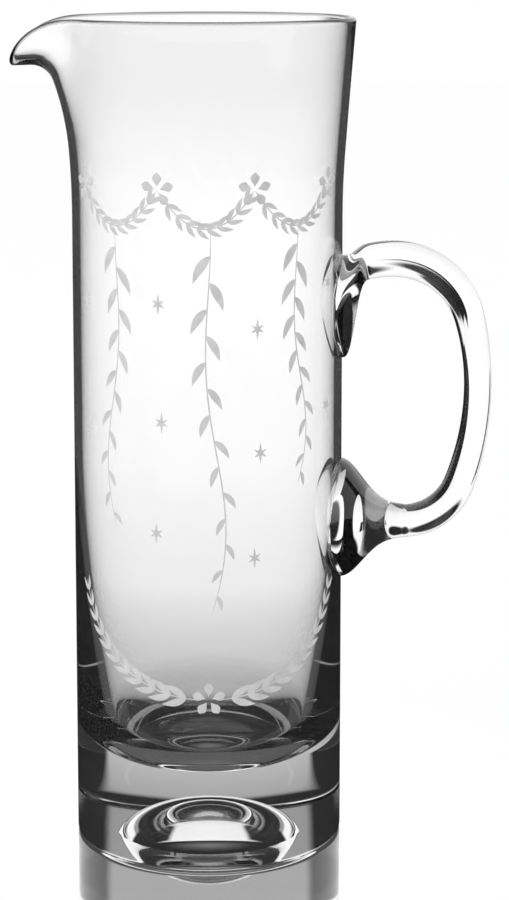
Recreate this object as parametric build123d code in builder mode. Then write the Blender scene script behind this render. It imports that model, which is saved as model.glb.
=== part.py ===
from build123d import *
from math import asin, cos, degrees, exp, hypot, pi, radians
import os

os.makedirs("parts", exist_ok=True)

# Vessel, a blown cylinder standing on Z = 0 with its axis on Z and its spout towards -X.
body_radius = 44.6
body_height = 274.5
wall = 2.5
foot_round = 1.4

# Inside: the wall thickens downwards into a heavy foot with a rounded floor.
floor_height = 27.5
taper_rise = 104.5
taper_top = floor_height + taper_rise
taper_radius = 527.0
bowl_radius = 20.0
taper_angle = asin((taper_rise - bowl_radius) / (taper_radius - bowl_radius))

# Punt: a hollow ground into the underside, part of a sphere.
punt_radius = 19.5
punt_depth = 15.0
punt_sphere = (punt_radius**2 + punt_depth**2) / (2 * punt_depth)

# Rim: above the shoulder the wall leans out slightly, first along one wide arc.
flared_height = 65.0
shoulder = body_height - flared_height
flare_radius = 280.0
rim_lean = radians(0.2)
rim_roll = radians(0.2)

# Spout: the wall leans out more from spout_start, then rolls over into a lip. Lengths run up the wall.
spout_rise = 21.0
spout_start = shoulder + spout_rise
lean_length = 24.0
lean_turn = radians(15.4)
roll_length = 9.4
roll_turn = radians(72.1)
rim_run = body_height - wall / 2 - spout_start - lean_length - roll_length
tip_run = 5.4
spout_half_angle = 26.0
spout_steps = 8
gather_tolerance = 0.001

# Handle rod, followed from the low pad round to the high one, in the plane of the spout.
handle_below_shoulder = 104.0
low_height = shoulder - handle_below_shoulder
low_arm_length = 20.9
low_bend_start = body_radius + low_arm_length
low_bend_radius = 20.0
low_bend_angle = 70.0
back_low_radius = 96.5
back_high_radius = 90.0
back_high_angle = 15.0
high_bend_radius = 26.4
high_fall_radius = 41.3
rod_low = 10.8
rod_back = 9.1
rod_high = 12.0
rod_width_ratio = 1.15

# Pads: both spread over the wall and shrink to the rod with their distance from it. Their sections start
# inside the wall, deep enough for its curve, and the wall is then cut away from them.
low_pad_rise = 1.5
low_pad_radius = 19.8
low_pad_spread = 10.0
high_pad_drop = 15.9
high_pad_radius = 17.0
high_pad_spread = 4.9
pad_clearance = 1.0
pad_start = (body_radius**2 - low_pad_radius**2) ** 0.5 - pad_clearance
pad_rounds = 12
low_steps = 8
loop_steps = 10
high_steps = 10


def spout_pull(turn):
    """Share of the spout's full pull at an angle from its middle: 1 there, 0 at its sides."""
    return cos(pi / 2 * turn / spout_half_angle) ** 2


def upper_wall(turn):
    """Section of the wall from the shoulder to the rim, at an angle in degrees from the spout's middle."""
    pull = spout_pull(turn)
    start_turn = spout_rise / flare_radius
    lean = rim_lean + pull * lean_turn
    roll = rim_roll + pull * roll_turn
    run = rim_run + (tip_run - rim_run) * pull**2
    with BuildSketch(Plane.XZ.rotated((0, 0, 180 + turn))) as section:
        with BuildLine():
            outer_flare = JernArc((body_radius, shoulder), (0, 1), flare_radius, -degrees(start_turn))
            outer_lean = JernArc(outer_flare @ 1, outer_flare % 1, lean_length / lean, -degrees(lean))
            outer_roll = JernArc(outer_lean @ 1, outer_lean % 1, roll_length / roll, -degrees(roll))
            outer_lip = Line(outer_roll @ 1, outer_roll @ 1 + outer_roll % 1 * run)
            rim = JernArc(outer_lip @ 1, outer_lip % 1, wall / 2, 180)
            inner_foot = (body_radius - wall, shoulder)
            inner_flare = JernArc(inner_foot, (0, 1), flare_radius + wall, -degrees(start_turn))
            inner_lean = JernArc(inner_flare @ 1, inner_flare % 1, lean_length / lean + wall, -degrees(lean))
            inner_roll = JernArc(inner_lean @ 1, inner_lean % 1, roll_length / roll + wall, -degrees(roll))
            Line(inner_roll @ 1, rim @ 1)
            Line(inner_flare @ 0, outer_flare @ 0)
        make_face()
    return section.sketch


with BuildPart() as body:
    with BuildSketch(Plane.XZ):
        with BuildLine():
            foot = Line((punt_radius, 0), (body_radius - foot_round, 0))
            foot_edge = JernArc(foot @ 1, (1, 0), foot_round, 90)
            outer = Line(foot_edge @ 1, (body_radius, shoulder))
            joint = Line(outer @ 1, (body_radius - wall, shoulder))
            inner = Line(joint @ 1, (body_radius - wall, taper_top))
            taper = JernArc(inner @ 1, (0, -1), taper_radius, -degrees(taper_angle))
            bowl = JernArc(taper @ 1, taper % 1, bowl_radius, degrees(taper_angle) - 90)
            floor = Line(bowl @ 1, (0, floor_height))
            centre = Line(floor @ 1, (0, punt_depth))
            JernArc(centre @ 1, (1, 0), punt_sphere, -degrees(asin(punt_radius / punt_sphere)))
        make_face()
    revolve(axis=Axis.Z)

with BuildPart() as plain_rim:
    revolve(upper_wall(spout_half_angle), axis=Axis.Z, revolution_arc=360 - 2 * spout_half_angle)

with BuildPart() as spout:
    loft([upper_wall(spout_half_angle * step / spout_steps) for step in range(-spout_steps, spout_steps + 1)])

# One gather of glass: the spout's edges follow the round wall closely but not exactly, hence the tolerance.
one_gather = body.part.solid().fuse(plain_rim.part.solid(), spout.part.solid(), tol=gather_tolerance)
with BuildPart() as vessel:
    add(one_gather)

vessel.part.label = "vessel"
export_step(vessel.part, "parts/vessel.step")


with BuildLine(Plane.XZ) as rod_line:
    low_bend = JernArc((low_bend_start, low_height), (1, 0), low_bend_radius, low_bend_angle)
    back_low = JernArc(low_bend @ 1, low_bend % 1, back_low_radius, 90 - low_bend_angle)
    back_high = JernArc(back_low @ 1, back_low % 1, back_high_radius, back_high_angle)
    high_bend = JernArc(back_high @ 1, back_high % 1, high_bend_radius, 90 - back_high_angle)
rod_loop = rod_line.wire()
crest = rod_loop @ 1
high_pad_height = crest.Z - high_pad_drop


def oval(centre, heading, half_width, half_height):
    """Oval section of the handle, square to a heading in the plane of the spout."""
    with BuildSketch(Plane(centre, x_dir=(0, 1, 0), z_dir=heading)) as section:
        Circle(1)
        scale(by=(half_width, half_height, 1))
    return section.sketch


def wrapped(reach, x):
    """Half-width at x of a pad on the round wall, for a reach that depends on the distance from the wall."""
    width = reach(x - body_radius)
    for _ in range(pad_rounds):
        width = reach(hypot(x, width) - body_radius)
    return width


def low_oval(x):
    """Section of the low arm at x: the rod, spread into a round pad by a bell curve."""
    share = exp(-(((x - body_radius) / low_pad_spread) ** 2))
    half_height = rod_low / 2 + (low_pad_radius - rod_low / 2) * share
    half_rod = rod_low / 2 * rod_width_ratio

    def reach(gap):
        return half_rod + (low_pad_radius - half_rod) * exp(-((gap / low_pad_spread) ** 2))

    return oval((x, 0, low_height + low_pad_rise * share), (1, 0, 0), wrapped(reach, x), half_height)


def loop_oval(share):
    """Section of the free rod at a share of its loop: thinnest at the back, thickest at the crest."""
    swell = cos(pi * share) ** 2
    thick = rod_back + ((rod_low if share < 0.5 else rod_high) - rod_back) * swell
    return oval(rod_loop @ share, rod_loop % share, thick / 2 * rod_width_ratio, thick / 2)


def high_oval(x):
    """Section of the high arm at x: the rod falls a little to the wall and its end is pressed down it."""
    share = exp(-((max(x - body_radius, 0) / high_pad_spread) ** 3))
    rod_height = crest.Z - high_fall_radius + (high_fall_radius**2 - (crest.X - x) ** 2) ** 0.5
    top = rod_height + rod_high / 2
    top += (high_pad_height + high_pad_radius - top) * share
    bottom = rod_height - rod_high / 2
    bottom += (high_pad_height - high_pad_radius - bottom) * share
    half_rod = rod_high / 2 * rod_width_ratio

    def reach(gap):
        return half_rod + (high_pad_radius - half_rod) * exp(-((max(gap, 0) / high_pad_spread) ** 3))

    return oval((x, 0, (top + bottom) / 2), (-1, 0, 0), wrapped(reach, x), (top - bottom) / 2)


low_arm = [low_oval(pad_start + (low_bend_start - pad_start) * step / low_steps) for step in range(low_steps)]
loop = [loop_oval(step / loop_steps) for step in range(loop_steps)]
high_arm = [high_oval(crest.X + (pad_start - crest.X) * step / high_steps) for step in range(high_steps + 1)]

with BuildPart() as handle:
    loft(low_arm + loop + high_arm)
    Cylinder(body_radius, shoulder, align=(Align.CENTER, Align.CENTER, Align.MIN), mode=Mode.SUBTRACT)

handle.part.label = "handle"
export_step(handle.part, "parts/handle.step")
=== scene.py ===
import bpy
import numpy as np
from math import radians
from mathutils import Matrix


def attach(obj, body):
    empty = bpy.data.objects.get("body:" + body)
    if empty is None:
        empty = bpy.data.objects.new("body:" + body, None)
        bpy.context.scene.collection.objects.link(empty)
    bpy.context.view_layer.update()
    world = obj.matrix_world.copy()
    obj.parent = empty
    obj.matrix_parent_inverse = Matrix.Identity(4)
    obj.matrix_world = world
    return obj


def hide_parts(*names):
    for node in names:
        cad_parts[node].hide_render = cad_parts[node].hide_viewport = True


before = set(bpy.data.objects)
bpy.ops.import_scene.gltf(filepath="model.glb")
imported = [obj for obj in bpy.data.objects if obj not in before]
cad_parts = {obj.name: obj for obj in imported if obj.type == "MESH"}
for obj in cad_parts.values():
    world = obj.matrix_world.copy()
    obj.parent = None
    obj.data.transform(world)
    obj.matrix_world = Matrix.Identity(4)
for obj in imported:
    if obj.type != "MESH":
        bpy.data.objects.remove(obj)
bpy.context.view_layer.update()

# The vessel is one gather of clear glass, blown in a straight mould, with a heavy solid foot.
# Its lip was pulled into a spout while hot, the rim was fire-polished, and a hollow, the punt,
# was ground and polished into the underside.
mm = 0.001
body_radius = 44.6 * mm
body_height = 274.5 * mm
wall = 2.5 * mm
foot_round = 1.4 * mm
floor_height = 27.5 * mm
taper_rise = 104.5 * mm
taper_radius = 527.0 * mm
bowl_radius = 20.0 * mm
punt_radius = 19.5 * mm
punt_depth = 15.0 * mm
shoulder = body_height - 65.0 * mm
flare_radius = 280.0 * mm
rim_lean = radians(0.2)
rim_roll = radians(0.2)
spout_rise = 21.0 * mm
lean_length = 24.0 * mm
lean_turn = radians(15.4)
roll_length = 9.4 * mm
roll_turn = radians(72.1)
rim_run = body_height - wall / 2 - shoulder - spout_rise - lean_length - roll_length
tip_run = 5.4 * mm
spout_half_angle = radians(44)
spout_power = 6
vessel_columns = 360


def arc(start_radius, start_height, heading, length, turn, steps):
    """Radius and height along an arc: its heading, counted from straight up and outwards, grows evenly
    by turn, so the radius goes with the fall of the heading's cosine and the height with the rise of
    its sine."""
    now = heading + turn * np.linspace(0, 1, steps + 1)[:, None]
    bend = length / turn
    radius = start_radius + bend * (np.cos(heading) - np.cos(now))
    return radius, start_height + bend * (np.sin(now) - np.sin(heading))


def vessel_grid():
    """The wall's section at each angle round the axis, rows running from under the punt up the outside,
    over the rim and down the inside. Near the spout, the lean and roll of the lip grow with a smooth
    share of the full pull, one minus the squared share of the angle, to the sixth power. With the grid
    comes each row's share of the painted shade on the rim, the root of a sine over its round edge."""
    turn = np.linspace(0, 2 * np.pi, vessel_columns, endpoint=False)
    from_spout = np.minimum(turn, 2 * np.pi - turn)
    pull = (1 - np.minimum(from_spout / spout_half_angle, 1) ** 2)[None, :] ** spout_power

    sphere = (punt_radius**2 + punt_depth**2) / (2 * punt_depth)
    dome = np.linspace(0, np.arcsin(punt_radius / sphere), 28)
    edge = np.linspace(0, np.pi / 2, 9)
    foot_centre = body_radius - foot_round
    round_parts = [
        (sphere * np.sin(dome), punt_depth - sphere + sphere * np.cos(dome)),
        (np.linspace(punt_radius, foot_centre, 8)[1:-1], np.zeros(6)),
        (foot_centre + foot_round * np.sin(edge), foot_round - foot_round * np.cos(edge)),
        (np.full(30, body_radius), np.linspace(foot_round, shoulder, 32)[1:-1]),
    ]

    radius, height, heading = np.full_like(pull, body_radius), np.full_like(pull, shoulder), 0 * pull
    upper = [(radius, height, heading)]
    flare = (spout_rise, spout_rise / flare_radius + 0 * pull, 6)
    lip_lean = (lean_length, rim_lean + pull * lean_turn, 16)
    lip_roll = (roll_length, rim_roll + pull * roll_turn, 16)
    for length, lean, steps in (flare, lip_lean, lip_roll):
        radii, heights = arc(radius, height, heading, length, lean, steps)
        headings = heading + lean * np.linspace(0, 1, steps + 1)[:, None]
        upper.append((radii[1:], heights[1:], headings[1:]))
        radius, height, heading = radii[-1:], heights[-1:], heading + lean
    run = (rim_run + (tip_run - rim_run) * pull**2) * np.linspace(0, 1, 7)[1:, None]
    upper.append((radius + run * np.sin(heading), height + run * np.cos(heading), heading + 0 * run))
    out_r, out_z, lean = (np.concatenate(part) for part in zip(*upper))
    in_r, in_z = out_r - wall * np.cos(lean), out_z + wall * np.sin(lean)
    over = np.linspace(0, np.pi, 18)[1:-1, None]
    across, along = np.cos(over), np.sin(over)
    tip_cos, tip_sin = np.cos(lean[-1]), np.sin(lean[-1])
    rim_r = (out_r[-1] + in_r[-1]) / 2 + wall / 2 * (across * tip_cos + along * tip_sin)
    rim_z = (out_z[-1] + in_z[-1]) / 2 + wall / 2 * (along * tip_cos - across * tip_sin)

    inside = body_radius - wall
    taper_turn = np.arcsin((taper_rise - bowl_radius) / (taper_radius - bowl_radius))
    fall = np.linspace(0, taper_turn, 30)
    bowl = np.linspace(taper_turn, np.pi / 2, 30)
    bowl_centre = inside - (taper_radius - bowl_radius) * (1 - np.cos(taper_turn)) - bowl_radius
    taper_top, bowl_top = floor_height + taper_rise, floor_height + bowl_radius
    inner_parts = [
        (np.full(16, inside), np.linspace(shoulder, taper_top, 18)[1:-1]),
        (inside - taper_radius * (1 - np.cos(fall)), taper_top - taper_radius * np.sin(fall)),
        (bowl_centre + bowl_radius * np.cos(bowl[1:]), bowl_top - bowl_radius * np.sin(bowl[1:])),
        (np.linspace(bowl_centre, 0, 8)[1:], np.full(7, floor_height)),
    ]

    plain = np.ones_like(pull)
    lower = [np.concatenate(part)[:, None] * plain for part in zip(*round_parts)]
    inner = [np.concatenate(part)[:, None] * plain for part in zip(*inner_parts)]
    radius = np.concatenate([lower[0], out_r, rim_r, in_r[::-1], inner[0]])
    height = np.concatenate([lower[1], out_z, rim_z, in_z[::-1], inner[1]])
    rim_shade_share = np.zeros(len(radius))
    rim_shade_share[len(lower[0]) + len(out_r):][:len(over)] = along[:, 0] ** 0.5
    return np.stack([-radius * np.cos(turn), -radius * np.sin(turn), height], axis=-1), rim_shade_share


def round_mesh(name, grids):
    """One mesh of closed shapes, each from a grid of rows by columns: the columns join round, and the
    first and last rows are one point each."""
    count, rows, columns = grids.shape[:3]
    middle = grids[:, 1:-1].reshape(count, -1, 3)
    points = np.concatenate([grids[:, 0, :1], middle, grids[:, -1, :1]], axis=1)
    start = np.arange(count)[:, None] * points.shape[1]
    ring = start[:, None] + 1 + np.arange((rows - 2) * columns).reshape(1, rows - 2, columns)
    after = np.roll(ring, -1, axis=2)
    sides = np.stack([ring[:, :-1], after[:, :-1], after[:, 1:], ring[:, 1:]], axis=-1).reshape(-1, 4)
    first_pole = start + 0 * ring[:, 0]
    last_pole = first_pole + points.shape[1] - 1
    first = np.stack([first_pole, after[:, 0], ring[:, 0]], axis=-1).reshape(-1, 3)
    last = np.stack([last_pole, ring[:, -1], after[:, -1]], axis=-1).reshape(-1, 3)
    faces = sides.tolist() + first.tolist() + last.tolist()
    mesh = bpy.data.meshes.new(name)
    mesh.from_pydata(points.reshape(-1, 3).tolist(), [], faces)
    mesh.shade_smooth()
    mesh.set_sharp_from_angle(angle=radians(40))
    piece = bpy.data.objects.new(name, mesh)
    bpy.context.collection.objects.link(piece)
    return piece


def linear(code, alpha=1.0):
    """An sRGB hex colour as linear light."""
    share = np.array([int(code[i:i + 2], 16) / 255 for i in (1, 3, 5)])
    light = np.where(share <= 0.04045, share / 12.92, ((share + 0.055) / 1.055) ** 2.4)
    return (*light.tolist(), alpha)


def add_node(tree, kind, inputs=None, **settings):
    """Add a node, give it its settings, and set each named or numbered input to a value or link it to
    an output."""
    made = tree.nodes.new(kind)
    for name, value in settings.items():
        setattr(made, name, value)
    for name, value in (inputs or {}).items():
        if isinstance(value, bpy.types.NodeSocket):
            tree.links.new(value, made.inputs[name])
        else:
            made.inputs[name].default_value = value
    return made


# Mould-blown soda glass: polished by the fire, so it is clear and smooth, with a slow waviness left by
# the mould and faint rub marks in the ring that it stands on. The rim, seen along the depth of the wall,
# looks dark, and that dark line is a painted shade: the rim's colour goes to a dark grey. Handling and
# dust leave a thin film, a faint haze where the glass is dark.
glass_ior = 1.52
clear_tint = "#FBFBFB"
rim_painted_shade = "#242424"
wave_width = 30 * mm
wave_strength = 0.02
bump_height = 1 * mm
scratch_width = 0.6 * mm
worn_height = 0.5 * mm
worn_roughness = 0.08
smudge_width = 12 * mm
smudge_haze = 0.02
blown_glass = bpy.data.materials.new("blown_clear_glass")
blown_glass.use_nodes = True
tree = blown_glass.node_tree
shader = tree.nodes["Principled BSDF"]
place = add_node(tree, "ShaderNodeTexCoord").outputs["Object"]
waves = {"Vector": place, "Scale": 1 / wave_width, "Detail": 1.0}
waves = add_node(tree, "ShaderNodeTexNoise", waves).outputs["Fac"]
ripple = {"Height": waves, "Strength": wave_strength, "Distance": bump_height}
ripple = add_node(tree, "ShaderNodeBump", ripple).outputs["Normal"]
rubs = {"Vector": place, "Scale": 1 / scratch_width, "Detail": 4.0}
rubs = add_node(tree, "ShaderNodeTexNoise", rubs).outputs["Fac"]
height = add_node(tree, "ShaderNodeSeparateXYZ", {"Vector": place}).outputs["Z"]
stood_on = {"Value": height, "From Min": worn_height, "From Max": 0.0, "To Max": worn_roughness}
stood_on = add_node(tree, "ShaderNodeMapRange", stood_on).outputs[0]
worn = add_node(tree, "ShaderNodeMath", {0: stood_on, 1: rubs}, operation="MULTIPLY").outputs[0]
# Painted shade on the rim: the base colour goes from clear to dark grey by each point's share of the rim.
rim_shade_amount = add_node(tree, "ShaderNodeAttribute", attribute_name="rim_shade_share").outputs["Fac"]
glass_colour_and_rim_shade = {"Factor": rim_shade_amount, "A": linear(clear_tint), "B": linear(rim_painted_shade)}
glass_colour_and_rim_shade = add_node(tree, "ShaderNodeMix", glass_colour_and_rim_shade, data_type="RGBA").outputs["Result"]
smudges = {"Vector": place, "Scale": 1 / smudge_width, "Detail": 5.0}
smudges = add_node(tree, "ShaderNodeTexNoise", smudges).outputs["Fac"]
clear = {"Value": smudges, "To Min": 1.0, "To Max": 1 - smudge_haze}
clear = add_node(tree, "ShaderNodeMapRange", clear).outputs[0]
tree.links.new(glass_colour_and_rim_shade, shader.inputs["Base Color"])
tree.links.new(worn, shader.inputs["Roughness"])
tree.links.new(ripple, shader.inputs["Normal"])
tree.links.new(clear, shader.inputs["Transmission Weight"])
shader.inputs["IOR"].default_value = glass_ior

section, rim_shade_share = vessel_grid()
vessel = round_mesh("vessel_blown", section[None])
# Each point keeps its share of the rim's painted shade.
rim_shade_share = np.concatenate([rim_shade_share[:1], np.repeat(rim_shade_share[1:-1], vessel_columns), rim_shade_share[-1:]])
vessel.data.attributes.new("rim_shade_share", "FLOAT", "POINT").data.foreach_set("value", rim_shade_share)
vessel.data.materials.append(blown_glass)
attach(vessel, "root")
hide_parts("vessel")

# The handle is a rod of the same glass, drawn out hot. Its low end was pressed on as a round pad, the
# rod was looped over, and its high end was pressed on under the crest. Both pads are fused to the wall.
low_height = shoulder - 104.0 * mm
low_arm_length = 20.9 * mm
low_bend_radius = 20.0 * mm
low_bend_angle = radians(70)
back_low_radius = 96.5 * mm
back_high_radius = 90.0 * mm
back_high_angle = radians(15)
high_bend_radius = 26.4 * mm
high_fall_radius = 41.3 * mm
rod_low = 10.8 * mm
rod_back = 9.1 * mm
rod_high = 12.0 * mm
rod_width_ratio = 1.15
low_pad_rise = 1.5 * mm
low_pad_radius = 19.8 * mm
low_pad_spread = 10.0 * mm
high_pad_drop = 15.9 * mm
high_pad_radius = 17.0 * mm
high_pad_spread = 4.9 * mm
fused_depth = 0.3 * mm
rod_steps = 150
handle_columns = 96


def rod_line():
    """Centre line of the looped rod as x, z and heading: four arcs end to end, each an even turn of the
    heading."""
    x, z, heading = body_radius + low_arm_length, low_height, 0.0
    runs = [(low_bend_radius, low_bend_angle), (back_low_radius, np.pi / 2 - low_bend_angle)]
    runs += [(back_high_radius, back_high_angle), (high_bend_radius, np.pi / 2 - back_high_angle)]
    total = sum(radius * turn for radius, turn in runs)
    line = []
    for radius, turn in runs:
        now = heading + turn * np.linspace(0, 1, 1 + round(rod_steps * radius * turn / total))
        xs = x + radius * (np.sin(now) - np.sin(heading))
        zs = z - radius * (np.cos(now) - np.cos(heading))
        line.append(np.stack([xs, zs, now])[:, 1:])
        x, z, heading = xs[-1], zs[-1], heading + turn
    return np.concatenate(line, axis=1)


def pad_rings(gap, half_width, half_height, middle, arm_length, scale=1.0):
    """Rings of a pad at given distances from the wall: an oval bent to the wall's curve, flat by the end
    of the arm."""
    round_angle = np.linspace(0, 2 * np.pi, handle_columns, endpoint=False)[None, :]
    y = scale * half_width * np.sin(round_angle)
    reach = body_radius + gap
    bow = np.cos(np.pi / 2 * np.clip(gap / arm_length, 0, 1)) ** 2
    x = reach - bow * (reach - np.sqrt(reach**2 - y**2))
    return np.stack([x, y, middle + scale * half_height * np.cos(round_angle)], axis=-1)


def handle_grid():
    """Rings along the handle. Low arm: rod plus a bell-shaped spread near the wall. Loop: ovals whose
    thickness swells with a cosine squared of the share of the way. High arm: the rod falls on an arc,
    and its end spreads down the wall."""
    face = np.linspace(0, 1, 10)[:, None]
    line = rod_line()
    crest_x, crest_z = line[0, -1], line[1, -1]

    gap = (-fused_depth + (low_arm_length + fused_depth) * np.linspace(0, 1, 60) ** 1.5)[:, None]
    share = np.exp(-((np.maximum(gap, 0) / low_pad_spread) ** 2))
    half_rod = rod_low / 2
    half_height = half_rod + (low_pad_radius - half_rod) * share
    half_width = half_rod * rod_width_ratio + (low_pad_radius - half_rod * rod_width_ratio) * share
    middle = low_height + low_pad_rise * share
    low_arm = pad_rings(gap, half_width, half_height, middle, low_arm_length)
    oval = half_width[0], half_height[0], middle[0], low_arm_length
    low_face = pad_rings(gap[:1] + 0 * face, *oval, face)

    share = np.linspace(0, 1, line.shape[1] + 1)[1:, None]
    end = np.where(share < 0.5, rod_low, rod_high)
    half = (rod_back + (end - rod_back) * np.cos(np.pi * share) ** 2) / 2
    round_angle = np.linspace(0, 2 * np.pi, handle_columns, endpoint=False)[None, :]
    x, z, heading = line[0][:, None], line[1][:, None], line[2][:, None]
    inward = half * np.cos(round_angle)
    sideways = half * rod_width_ratio * np.sin(round_angle)
    loop = np.stack([x - inward * np.sin(heading), sideways, z + inward * np.cos(heading)], axis=-1)

    high_arm_length = crest_x - body_radius
    gap = (-fused_depth + (high_arm_length + fused_depth) * np.linspace(1, 0, 71) ** 1.5)[1:, None]
    share = np.exp(-((np.maximum(gap, 0) / high_pad_spread) ** 3))
    fall = high_fall_radius - np.sqrt(high_fall_radius**2 - (high_arm_length - gap) ** 2)
    rod_height = crest_z - fall
    pad_height = crest_z - high_pad_drop
    top = rod_height + rod_high / 2
    top = top + (pad_height + high_pad_radius - top) * share
    bottom = rod_height - rod_high / 2
    bottom = bottom + (pad_height - high_pad_radius - bottom) * share
    half_rod = rod_high / 2 * rod_width_ratio
    half_width = half_rod + (high_pad_radius - half_rod) * share
    middle, half_height = (top + bottom) / 2, (bottom - top) / 2
    high_arm = pad_rings(gap, half_width, half_height, middle, high_arm_length)
    oval = half_width[-1], half_height[-1], middle[-1], high_arm_length
    high_face = pad_rings(gap[-1:] + 0 * face, *oval, face[::-1])
    return np.concatenate([low_face[:-1], low_arm, loop, high_arm, high_face[1:]])


handle = round_mesh("handle_drawn", handle_grid()[None, ::-1])

# Drawn glass rod: the same clear glass, fire-polished, with fine lines along the pull. The lines follow
# the place on the rod's girth, kept for each point as the cosine and sine of its angle.
line_width = 2.2 * mm
line_strength = 0.04
flow_strength = 0.04
girth_angle = np.linspace(0, 2 * np.pi, handle_columns, endpoint=False)
girth = np.stack([np.cos(girth_angle), np.sin(girth_angle), 0 * girth_angle], axis=-1) * rod_back / 2
girth = np.tile(girth, ((len(handle.data.vertices) - 2) // handle_columns, 1))
girth = np.concatenate([girth[:1], girth, girth[-1:]])
handle.data.attributes.new("girth", "FLOAT_VECTOR", "POINT").data.foreach_set("vector", girth.ravel())
drawn_glass = bpy.data.materials.new("drawn_clear_glass")
drawn_glass.use_nodes = True
tree = drawn_glass.node_tree
shader = tree.nodes["Principled BSDF"]
place = add_node(tree, "ShaderNodeTexCoord").outputs["Object"]
girth_place = add_node(tree, "ShaderNodeAttribute", attribute_name="girth").outputs["Vector"]
lines = {"Vector": girth_place, "Scale": 1 / line_width, "Detail": 2.0}
lines = add_node(tree, "ShaderNodeTexNoise", lines).outputs["Fac"]
drawn = {"Height": lines, "Strength": line_strength, "Distance": bump_height}
drawn = add_node(tree, "ShaderNodeBump", drawn).outputs["Normal"]
flow = {"Vector": place, "Scale": 1 / wave_width, "Detail": 1.0}
flow = add_node(tree, "ShaderNodeTexNoise", flow).outputs["Fac"]
flow = {"Height": flow, "Strength": flow_strength, "Distance": bump_height, "Normal": drawn}
flow = add_node(tree, "ShaderNodeBump", flow).outputs["Normal"]
tree.links.new(flow, shader.inputs["Normal"])
shader.inputs["Base Color"].default_value = linear(clear_tint)
shader.inputs["Roughness"].default_value = 0.0
shader.inputs["Transmission Weight"].default_value = 1.0
shader.inputs["IOR"].default_value = glass_ior

# The fused joints: under each pad the two pieces are one glass, so neither has a surface there to bend
# the light. On the handle that is all that lies within the wall, and on the vessel its outer face in
# the round of each pad.
seat_play = 0.02 * mm
wall_play = 0.1 * mm
level = add_node(tree, "ShaderNodeVectorMath", {0: place, 1: (1, 1, 0)}, operation="MULTIPLY").outputs[0]
level = add_node(tree, "ShaderNodeVectorMath", {0: level}, operation="LENGTH").outputs["Value"]
free = {0: level, 1: body_radius - seat_play}
free = add_node(tree, "ShaderNodeMath", free, operation="GREATER_THAN").outputs[0]
tree.links.new(free, shader.inputs["Alpha"])

tree = blown_glass.node_tree
shader = tree.nodes["Principled BSDF"]
place = add_node(tree, "ShaderNodeTexCoord").outputs["Object"]
level = add_node(tree, "ShaderNodeVectorMath", {0: place, 1: (1, 1, 0)}, operation="MULTIPLY").outputs[0]
level = add_node(tree, "ShaderNodeVectorMath", {0: level}, operation="LENGTH").outputs["Value"]
inner_face = {0: level, 1: body_radius - wall_play}
inner_face = add_node(tree, "ShaderNodeMath", inner_face, operation="LESS_THAN").outputs[0]
upright = {0: place, 1: (0, 1, 1)}
upright = add_node(tree, "ShaderNodeVectorMath", upright, operation="MULTIPLY").outputs[0]
low_pad = (low_height + low_pad_rise, low_pad_radius)
high_pad = (float(rod_line()[1, -1]) - high_pad_drop, high_pad_radius)
off_pads = 1.0
for middle, radius in (low_pad, high_pad):
    apart = {0: upright, 1: (0, 0, middle)}
    apart = add_node(tree, "ShaderNodeVectorMath", apart, operation="DISTANCE").outputs["Value"]
    past = add_node(tree, "ShaderNodeMath", {0: apart, 1: radius}, operation="GREATER_THAN").outputs[0]
    off_pads = add_node(tree, "ShaderNodeMath", {0: past, 1: off_pads}, operation="MULTIPLY").outputs[0]
towards_handle = add_node(tree, "ShaderNodeSeparateXYZ", {"Vector": place}).outputs["X"]
free = {0: towards_handle, 1: 0.0}
free = add_node(tree, "ShaderNodeMath", free, operation="LESS_THAN").outputs[0]
for share in (inner_face, off_pads):
    free = add_node(tree, "ShaderNodeMath", {0: free, 1: share}, operation="MAXIMUM").outputs[0]
tree.links.new(free, shader.inputs["Alpha"])

handle.data.materials.append(drawn_glass)
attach(handle, "root")
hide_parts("handle")

# The front of the wall is decorated with a small stone wheel: leafy sprays hang from a garland, with
# blossoms and stars between them and a wreath of two sprigs below. Each cut is shallow, so each mark is
# a thin lens in the surface. Places are the way round the wall from the front, and the height.
cut_depth = 0.05 * mm
mark_columns = 6
mark_rows = 9
stem_rows = 60
leaf_curl = 0.7


def cut_marks(name, lines, half_widths):
    """Marks on the wall, one for each line of points given as way round the wall and height. Each
    section is a flat oval across the line, as wide as the mark is there, and both ends close to a
    point. Above the shoulder the marks follow the flare, which leaves the straight wall on a wide arc."""
    along = np.gradient(lines, axis=1)
    side = np.stack([-along[..., 1], along[..., 0]], axis=-1)
    side = side / np.linalg.norm(side, axis=-1, keepdims=True)
    angle = np.linspace(0, 2 * np.pi, mark_columns, endpoint=False)
    flat = lines[:, :, None] + side[:, :, None] * (half_widths[:, :, None] * np.cos(angle))[..., None]
    swell = half_widths / half_widths.max(axis=1, keepdims=True)
    above = np.maximum(flat[..., 1] - shoulder, 0)
    flared = body_radius + flare_radius - np.sqrt(flare_radius**2 - above**2)
    reach = flared + cut_depth * swell[:, :, None] * np.sin(angle)
    turn = flat[..., 0] / body_radius
    points = np.stack([reach * np.sin(turn), -reach * np.cos(turn), flat[..., 1]], axis=-1)
    marks = round_mesh(name, points)
    marks.data.materials.append(frosted)
    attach(marks, "root")


def turning_lines(start, heading, length, bend, rows):
    """Lines of points from each start, whose heading turns evenly by the bend along the length."""
    now = heading[:, None] + bend[:, None] * (np.arange(rows - 1) + 0.5) / (rows - 1)
    steps = np.stack([np.cos(now), np.sin(now)], axis=-1) * (length / (rows - 1))[:, None, None]
    return np.concatenate([start[:, None], start[:, None] + np.cumsum(steps, axis=1)], axis=1)


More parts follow.
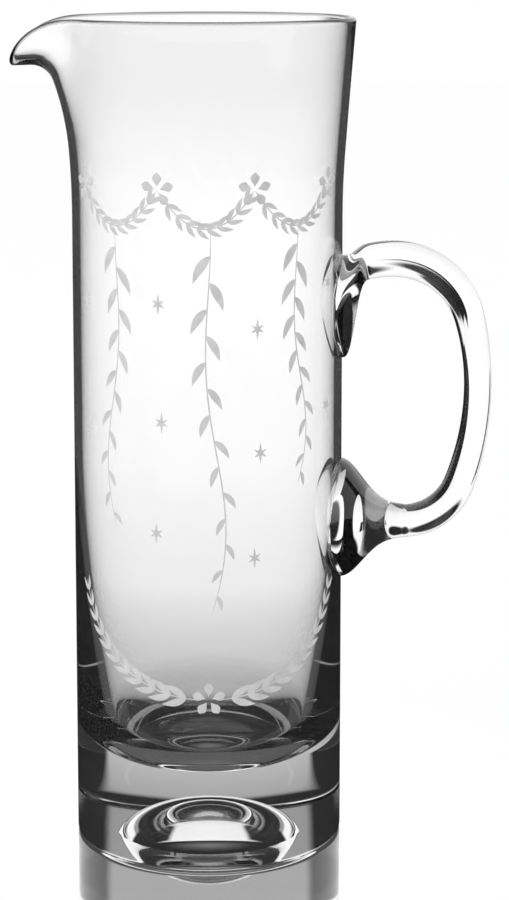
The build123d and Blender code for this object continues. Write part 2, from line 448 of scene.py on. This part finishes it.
def leaves_on(stems, at, sides, spread, longest, shortest):
    """Leaf middles along stems: each starts on its stem, turns away by the spread, curls back, and
    shortens to the tip."""
    base = stems[:, at]
    ahead = stems[:, at + 1] - stems[:, at - 1]
    heading = np.arctan2(ahead[..., 1], ahead[..., 0]) + sides * spread
    length = longest + (shortest - longest) * at / stems.shape[1] + 0 * heading
    bend = -leaf_curl * spread * sides + 0 * heading
    return turning_lines(base.reshape(-1, 2), heading.ravel(), length.ravel(), bend.ravel(), mark_rows)


# Wheel-cut glass: the stone leaves a grey frost of fine pits, paler in some strokes than in others.
grey_frost = "#C4C4C4"
pale_frost = "#F4F4F4"
stroke_width = 4 * mm
pit_width = 0.3 * mm
pit_strength = 0.4
least_rough, most_rough = 0.6, 0.95
frosted = bpy.data.materials.new("wheel_cut_frosted_glass")
frosted.use_nodes = True
tree = frosted.node_tree
shader = tree.nodes["Principled BSDF"]
place = add_node(tree, "ShaderNodeTexCoord").outputs["Object"]
pits = {"Vector": place, "Scale": 1 / pit_width, "Detail": 3.0}
pits = add_node(tree, "ShaderNodeTexNoise", pits).outputs["Fac"]
strokes = {"Vector": place, "Scale": 1 / stroke_width}
strokes = add_node(tree, "ShaderNodeTexNoise", strokes).outputs["Fac"]
tone = {"Factor": strokes, "A": linear(grey_frost), "B": linear(pale_frost)}
tone = add_node(tree, "ShaderNodeMix", tone, data_type="RGBA").outputs["Result"]
rough = {"Value": pits, "To Min": least_rough, "To Max": most_rough}
rough = add_node(tree, "ShaderNodeMapRange", rough).outputs[0]
pitted = {"Height": pits, "Strength": pit_strength, "Distance": cut_depth}
pitted = add_node(tree, "ShaderNodeBump", pitted).outputs["Normal"]
tree.links.new(tone, shader.inputs["Base Color"])
tree.links.new(rough, shader.inputs["Roughness"])
tree.links.new(pitted, shader.inputs["Normal"])

# Stems: three hanging garlands, a spray from under each one, and the two sprigs of the wreath.
stem_width = 0.5 * mm
garland_height = 222 * mm
garland_span = 31 * mm
garland_sag = 12 * mm
garland_from = np.array([-47, -16, 15])[:, None] * mm
spray_from = np.array([-32, 1, 31])[:, None] * mm
spray_length = np.array([98, 124, 84])[:, None] * mm
spray_sway = np.array([5, -6, -5])[:, None] * mm
wreath_height = 58 * mm
sprig_start = np.array([[-2 * mm, wreath_height], [2 * mm, wreath_height]])
sprig_heading = np.array([np.pi, 0])
sprig_length = np.array([62, 62]) * mm
sprig_bend = np.array([-1.25, 1.25])
share = np.linspace(0, 1, stem_rows)
garland_fall = garland_sag * (1 - (2 * share - 1) ** 2) + 0 * garland_from
garlands = np.stack([garland_from + garland_span * share, garland_height - garland_fall], axis=-1)
spray_round = spray_from + spray_sway * np.sin(2 * np.pi * share) * share
sprays = np.stack([spray_round, garland_height - garland_sag - spray_length * share], axis=-1)
sprigs = turning_lines(sprig_start, sprig_heading, sprig_length, sprig_bend, stem_rows)
stems = np.concatenate([garlands, sprays, sprigs])
stem_half = stem_width / 2 * np.sin(np.pi * share) ** 0.3
cut_marks("cut_stems", stems, np.tile(stem_half, (len(stems), 1)))

# Leaves: to the left and the right in turn down the sprays, and in pairs along garlands and sprigs.
# Each kind has its spread from the stem and its longest and shortest length.
spray_leaf = (0.8, 11 * mm, 5 * mm)
garland_leaf = (0.7, 5.5 * mm, 5.5 * mm)
sprig_leaf = (0.6, 9 * mm, 5 * mm)
leaf_width_share = 0.28
spray_rows = np.arange(4, stem_rows, 4)
garland_rows = np.arange(6, stem_rows, 6)
sprig_rows = np.arange(5, stem_rows, 5)
in_turn = np.where(np.arange(len(spray_rows)) % 2, 1.0, -1.0)
leaves = [leaves_on(sprays, spray_rows, in_turn, *spray_leaf)]
for side in (-1.0, 1.0):
    leaves.append(leaves_on(garlands, garland_rows, side, *garland_leaf))
    leaves.append(leaves_on(sprigs, sprig_rows, side, *sprig_leaf))
leaves = np.concatenate(leaves)
leaf_length = np.linalg.norm(np.diff(leaves, axis=1), axis=-1).sum(axis=1)[:, None]
along_mark = np.linspace(0, 1, mark_rows)
leaf_half = leaf_width_share / 2 * leaf_length * np.sin(np.pi * along_mark**0.8)
cut_marks("cut_leaves", leaves, leaf_half)

# Petals: a blossom of five at each knot of the garlands, and one in the middle of the wreath.
petals_each = 5
petal_gap = 1.0 * mm
petal_length = 4.6 * mm
petal_width = 3.0 * mm
blossoms = [[way, garland_height] for way in (-47 * mm, -16 * mm, 15 * mm, 46 * mm)]
blossoms = np.array(blossoms + [[0.0, wreath_height]])[:, None]
petal_heading = np.pi / 2 + 2 * np.pi / petals_each * np.arange(petals_each)
petal_heading = np.tile(petal_heading, len(blossoms))
petal_way = np.stack([np.cos(petal_heading), np.sin(petal_heading)], axis=-1)
petal_start = (blossoms + petal_gap * petal_way.reshape(-1, petals_each, 2)).reshape(-1, 2)
straight = 0 * petal_heading
petals = turning_lines(petal_start, petal_heading, petal_length + straight, straight, mark_rows)
petal_half = petal_width / 2 * np.sin(np.pi * along_mark**1.4)
cut_marks("cut_petals", petals, np.tile(petal_half, (len(petals), 1)))

# Stars: three crossed strokes each, one upright and longer, in the gaps between the sprays.
stroke_lengths = np.array([7.0, 5.0, 5.0]) * mm
star_stroke_width = 1.0 * mm
stars = [[-16, 186], [-15, 148], [-17, 112], [16, 178], [17, 138], [15, 104]]
stars += [[-47, 184], [-46, 142], [47, 190], [46, 150]]
ray_heading = np.tile(np.pi / 2 + np.pi / 3 * np.arange(3), len(stars))
ray_length = np.tile(stroke_lengths, len(stars))
ray_way = np.stack([np.cos(ray_heading), np.sin(ray_heading)], axis=-1)
ray_start = np.repeat(np.array(stars) * mm, 3, axis=0) - ray_way * ray_length[:, None] / 2
star_rays = turning_lines(ray_start, ray_heading, ray_length, 0 * ray_heading, mark_rows)
ray_half = star_stroke_width / 2 * np.sin(np.pi * along_mark)
cut_marks("cut_stars", star_rays, np.tile(ray_half, (len(star_rays), 1)))

# Stage: a glossy white acrylic sheet in a white surround, as for a catalogue picture of clear glass.
# Through the glass the sheet has a painted shadow, grey near the foot. Black card round it, which only
# the glass sees, draws the outlines: it shows in reflections and in light that turned back inside the
# glass.
floor_drop = 0.2 * mm
floor_radius = 4.0
bpy.ops.mesh.primitive_circle_add(vertices=128, radius=floor_radius, fill_type="NGON")
floor = bpy.context.object
floor.name = "white_acrylic_floor"
floor.location.z = -floor_drop


def zone(tree, *edges):
    """The share of a zone, 1 inside and 0 outside: the product of a smooth step at each of its edges.
    An edge is a measure, its value where the step starts, and its value where the step ends."""
    share = 1.0
    for measure, start, stop in edges:
        step = {"Value": measure, "From Min": start, "From Max": stop}
        step = add_node(tree, "ShaderNodeMapRange", step, interpolation_type="SMOOTHSTEP").outputs[0]
        share = add_node(tree, "ShaderNodeMath", {0: step, 1: share}, operation="MULTIPLY").outputs[0]
    return share


def painted(tree, tone, *coats):
    """A tone with coats over it in turn: each coat is the share that it covers, and its own tone. A tone
    is a colour code or an output."""
    for share, coat in coats:
        under, over = (linear(part) if isinstance(part, str) else part for part in (tone, coat))
        tone = {"Factor": share, "A": under, "B": over}
        tone = add_node(tree, "ShaderNodeMix", tone, data_type="RGBA").outputs["Result"]
    return tone


def ways_through(tree, rays, fewest):
    """Three shares, each 1 for light of one kind: across solid glass, turned back once inside it, and
    across the whole hollow body. Each kind met one surface more than the last, from the fewest on."""
    ways = []
    for count in (fewest, fewest + 1, fewest + 2):
        met = {0: rays["Ray Depth"], 1: count, 2: 0.5}
        ways.append(add_node(tree, "ShaderNodeMath", met, operation="COMPARE").outputs[0])
    return ways


def seen_by(tree, rays, plain, eye, mirror, glass):
    """One shader for all light: the eye, a mirror image and light through glass find their own ones,
    and the rest finds the plain one, as does all light that a matt surface scattered on its way."""
    found = plain
    for kind, own in (("Is Camera Ray", eye), ("Is Glossy Ray", mirror), ("Is Transmission Ray", glass)):
        found = {0: rays[kind], 1: found.outputs[0], 2: own.outputs[0]}
        found = add_node(tree, "ShaderNodeMixShader", found)
    scattered = {0: rays["Diffuse Depth"], 1: 0.5}
    scattered = add_node(tree, "ShaderNodeMath", scattered, operation="GREATER_THAN").outputs[0]
    found = {0: scattered, 1: found.outputs[0], 2: plain.outputs[0]}
    return add_node(tree, "ShaderNodeMixShader", found).outputs[0]


# Cast acrylic sheet, polished: an even glossy white with a mirror image near the pitcher. The light that
# crosses the glass finds a painted shadow, graded by the distance from the pitcher's axis, here in mm.
painted_foot_shadow = [(0, "#767676"), (14, "#202020"), (45, "#101010"), (50, "#484848"), (55, "#A0A0A0")]
painted_foot_shadow += [(90, "#B8B8B8"), (210, "#EAEAEA"), (520, "#FAFAFA"), (1100, "#FFFFFF")]
shaded_radius = 1.25
far_grey = "#F0F0F0"
acrylic = bpy.data.materials.new("glossy_white_acrylic")
acrylic.use_nodes = True
tree = acrylic.node_tree
tree.nodes.clear()
rays = add_node(tree, "ShaderNodeLightPath").outputs
place = add_node(tree, "ShaderNodeTexCoord").outputs["Object"]
across, back, _ = add_node(tree, "ShaderNodeSeparateXYZ", {"Vector": place}).outputs
distance = add_node(tree, "ShaderNodeVectorMath", {0: place}, operation="LENGTH").outputs["Value"]
far = {"Value": distance, "From Min": 0.0, "From Max": shaded_radius}
far = add_node(tree, "ShaderNodeMapRange", far).outputs[0]
# Painted shadow round and under the foot, fading to white away from the pitcher.
shade = add_node(tree, "ShaderNodeValToRGB", {"Fac": far})
while len(shade.color_ramp.elements) < len(painted_foot_shadow):
    shade.color_ramp.elements.new(0.5)
for element, (radius, code) in zip(shade.color_ramp.elements, painted_foot_shadow):
    element.position, element.color = radius * mm / shaded_radius, linear(code)
far = zone(tree, (distance, shaded_radius, floor_radius))
shade = painted(tree, shade.outputs["Color"], (far, far_grey))

# Card at both sides of the sheet, and behind it, for light that crossed solid glass once: the foot and
# the handle. Near the pitcher, the card at the right stands at the left too.
card_grey = "#202020"
near_radius = 85 * mm
right_slope, left_slope, end_slope = -0.81, 0.58, 0.8
behind = (back, 19 * mm, 21 * mm)
slant = add_node(tree, "ShaderNodeMath", {0: across, 1: back}, operation="DIVIDE").outputs[0]
steep = add_node(tree, "ShaderNodeMath", {0: slant}, operation="ABSOLUTE").outputs[0]
either_side = add_node(tree, "ShaderNodeMath", {0: across}, operation="ABSOLUTE").outputs[0]
near = add_node(tree, "ShaderNodeMath", {0: distance, 1: near_radius}, operation="LESS_THAN").outputs[0]
aside = {"Factor": near, "A": across, "B": either_side}
aside = add_node(tree, "ShaderNodeMix", aside).outputs["Result"]
past_edges = []
for slope, start in ((right_slope, aside), (left_slope, across), (end_slope, across)):
    past = {0: back, 1: slope, 2: start}
    past_edges.append(add_node(tree, "ShaderNodeMath", past, operation="MULTIPLY_ADD").outputs[0])
past_right, past_left, past_end = past_edges
right_card = zone(tree, behind, (past_right, -45 * mm, -40 * mm))
left_card = zone(tree, (distance, 0.66, 0.7), (past_left, 0.0, -0.03), (past_end, 0.0, 0.03))
back_card = zone(tree, (slant, 0.08, 0.12), (slant, 0.34, 0.28), (back, 1.8, 2.0))

# What light finds on the sheet by its way through the glass. Solid glass keeps a tenth of it back, and
# light that turned once finds card, but for a strip of the sheet straight behind the pitcher.
kept_back = 0.1
turned_grey = "#505050"
lost_grey = "#848484"
backlight = 1.3
crossed, turned, whole_body = ways_through(tree, rays, 2)
solid = painted(tree, shade, (right_card, card_grey), (left_card, card_grey), (back_card, card_grey))
solid = painted(tree, solid, (kept_back, card_grey))
strip = zone(tree, (steep, 0.2, 0.1), behind)
turned_once = painted(tree, turned_grey, (zone(tree, (distance, 0.2, 0.6)), card_grey), (strip, shade))
through = painted(tree, lost_grey, (crossed, solid), (turned, turned_once), (whole_body, shade))
through_glass = add_node(tree, "ShaderNodeEmission", {"Color": through, "Strength": backlight})

# What the eye finds: mostly the sheet's own light, so that it stays white, over a matt white that takes
# the pitcher's shade. Its polish fades away from the foot, and a mirror image finds card.
sheet_white = "#FFFFFF"
matt_white = "#F2F2F2"
sheet_light = 1.05
lit_share = 0.86
polish_share = 0.95
polish_blur = 0.04
polish_radius = 80 * mm
polish_end = 160 * mm
card =add_node(tree, "ShaderNodeEmission", {"Color": linear(card_grey)})
mirror = {"Color": linear(sheet_white), "Roughness": polish_blur}
mirror = add_node(tree, "ShaderNodeBsdfGlossy", mirror)
matt = add_node(tree, "ShaderNodeBsdfDiffuse", {"Color": linear(matt_white)})
white = add_node(tree, "ShaderNodeEmission", {"Color": linear(sheet_white), "Strength": sheet_light})
pale = add_node(tree, "ShaderNodeMixShader", {0: lit_share, 1: matt.outputs[0], 2: white.outputs[0]})
polish = {"Value": distance, "From Min": polish_end, "From Max": polish_radius, "To Max": polish_share}
polish = add_node(tree, "ShaderNodeMapRange", polish, interpolation_type="SMOOTHSTEP").outputs[0]
gloss = add_node(tree, "ShaderNodeMixShader", {0: polish, 1: pale.outputs[0], 2: mirror.outputs[0]})
surface = seen_by(tree, rays, matt, gloss, card, through_glass)
add_node(tree, "ShaderNodeOutputMaterial", {"Surface": surface})
floor.data.materials.append(acrylic)

# The surround is the world itself: white to the eye and in the sheet's mirror image. Light that turned
# back inside the glass sees black card up to the ceiling, but for a grey opening in front of and behind
# the pitcher. The world counts itself as one more surface on the light's way.
ceiling_grey = "#9C9C9C"
window_grey = "#8E8E8E"
window_white = "#ECECEC"
dark_spots = [((0.26, 0.95, 0.08), 0.22), ((-0.2, 0.93, 0.25), 0.3), ((0.43, 0.87, 0.22), 0.26)]
spot_core = 0.7
soft_strength = 0.7
world = bpy.data.worlds.new("white_surround")
bpy.context.scene.world = world
world.use_nodes = True
tree = world.node_tree
tree.nodes.clear()
rays = add_node(tree, "ShaderNodeLightPath").outputs
place = add_node(tree, "ShaderNodeTexCoord").outputs["Generated"]
across, back, height = add_node(tree, "ShaderNodeSeparateXYZ", {"Vector": place}).outputs
level = add_node(tree, "ShaderNodeVectorMath", {0: place, 1: (1, 1, 0)}, operation="MULTIPLY").outputs[0]
level = add_node(tree, "ShaderNodeVectorMath", {0: level}, operation="NORMALIZE").outputs[0]
sideways = add_node(tree, "ShaderNodeSeparateXYZ", {"Vector": level}).outputs["X"]
sideways = add_node(tree, "ShaderNodeMath", {0: sideways}, operation="ABSOLUTE").outputs[0]

# Light that crossed solid glass finds white with a card at the right and dark spots, which the handle's
# bends show as dark patches.
crossed, turned, whole_body = ways_through(tree, rays, 3)
dark = zone(tree, (across, 0.6, 0.7), (back, 0.0, 0.1), (height, 0.35, 0.2))
for direction, size in dark_spots:
    apart = {0: place, 1: direction}
    apart = add_node(tree, "ShaderNodeVectorMath", apart, operation="DISTANCE").outputs["Value"]
    spot = zone(tree, (apart, size, spot_core * size))
    dark = add_node(tree, "ShaderNodeMath", {0: dark, 1: spot}, operation="MAXIMUM").outputs[0]
solid = painted(tree, far_grey, (dark, card_grey))

# Light that turned once finds card with a low window, and light across the hollow body finds the
# backdrop: a low band all round and a window behind the pitcher.
carded = painted(tree, card_grey, (zone(tree, (height, 0.82, 0.92)), ceiling_grey))
low_window = zone(tree, (sideways, 0.7, 0.6), (height, 0.46, 0.4), (height, 0.02, 0.12))
low_tone = painted(tree, window_grey, (zone(tree, (height, 0.34, 0.26)), window_white))
turned_once = painted(tree, carded, (low_window, low_tone))
low_band = zone(tree, (height, 0.16, 0.1))
rear_window = zone(tree, (sideways, 0.4, 0.3), (back, 0.0, 0.1))
backdrop = add_node(tree, "ShaderNodeMath", {0: low_band, 1: rear_window}, operation="MAXIMUM").outputs[0]
behind_body = painted(tree, carded, (backdrop, far_grey))
through = painted(tree, carded, (crossed, solid), (turned, turned_once), (whole_body, behind_body))
reflected = painted(tree, card_grey, (zone(tree, (height, -0.03, 0.0)), sheet_white))
through_glass = add_node(tree, "ShaderNodeBackground", {"Color": through, "Strength": backlight})
mirrored = add_node(tree, "ShaderNodeBackground", {"Color": reflected, "Strength": sheet_light})
white = add_node(tree, "ShaderNodeBackground", {"Color": linear(sheet_white), "Strength": 1.0})
soft_light = {"Color": linear(sheet_white), "Strength": soft_strength}
soft_light = add_node(tree, "ShaderNodeBackground", soft_light)
sky = seen_by(tree, rays, soft_light, white, mirrored, through_glass)
add_node(tree, "ShaderNodeOutputWorld", {"Surface": sky})

# Soft box: a square lamp behind white cloth, above and to the left of the pitcher. It gives the frosted
# marks and the floor their light, and neither the eye nor the glass sees it.
box_light = bpy.data.lights.new("soft_box", "AREA")
box_light.size = 0.9
box_light.energy = 6.0
soft_box = bpy.data.objects.new("soft_box", box_light)
soft_box.location = (-0.9, -0.7, 1.3)
soft_box.rotation_euler = (radians(38), 0, radians(-52))
soft_box.visible_camera = False
soft_box.visible_glossy = False
soft_box.visible_transmission = False
bpy.context.collection.objects.link(soft_box)

# Camera: a little above the rim, at arm's length, tilted down on the pitcher, with the lens shifted down
# a little so that the upright sides stay nearly upright.
tilt_down = radians(8.11)
turn_right = radians(1.13)
camera_data = bpy.data.cameras.new("camera")
camera_data.lens = 96.0
camera_data.sensor_width = 36.0
camera_data.shift_y = -0.2
camera = bpy.data.objects.new("camera", camera_data)
camera.location = (0.0, -787 * mm, 303 * mm)
camera.rotation_euler = (radians(90) - tilt_down, 0, -turn_right)
bpy.context.collection.objects.link(camera)
bpy.context.scene.camera = camera
bpy.context.scene.view_settings.view_transform = "Standard"
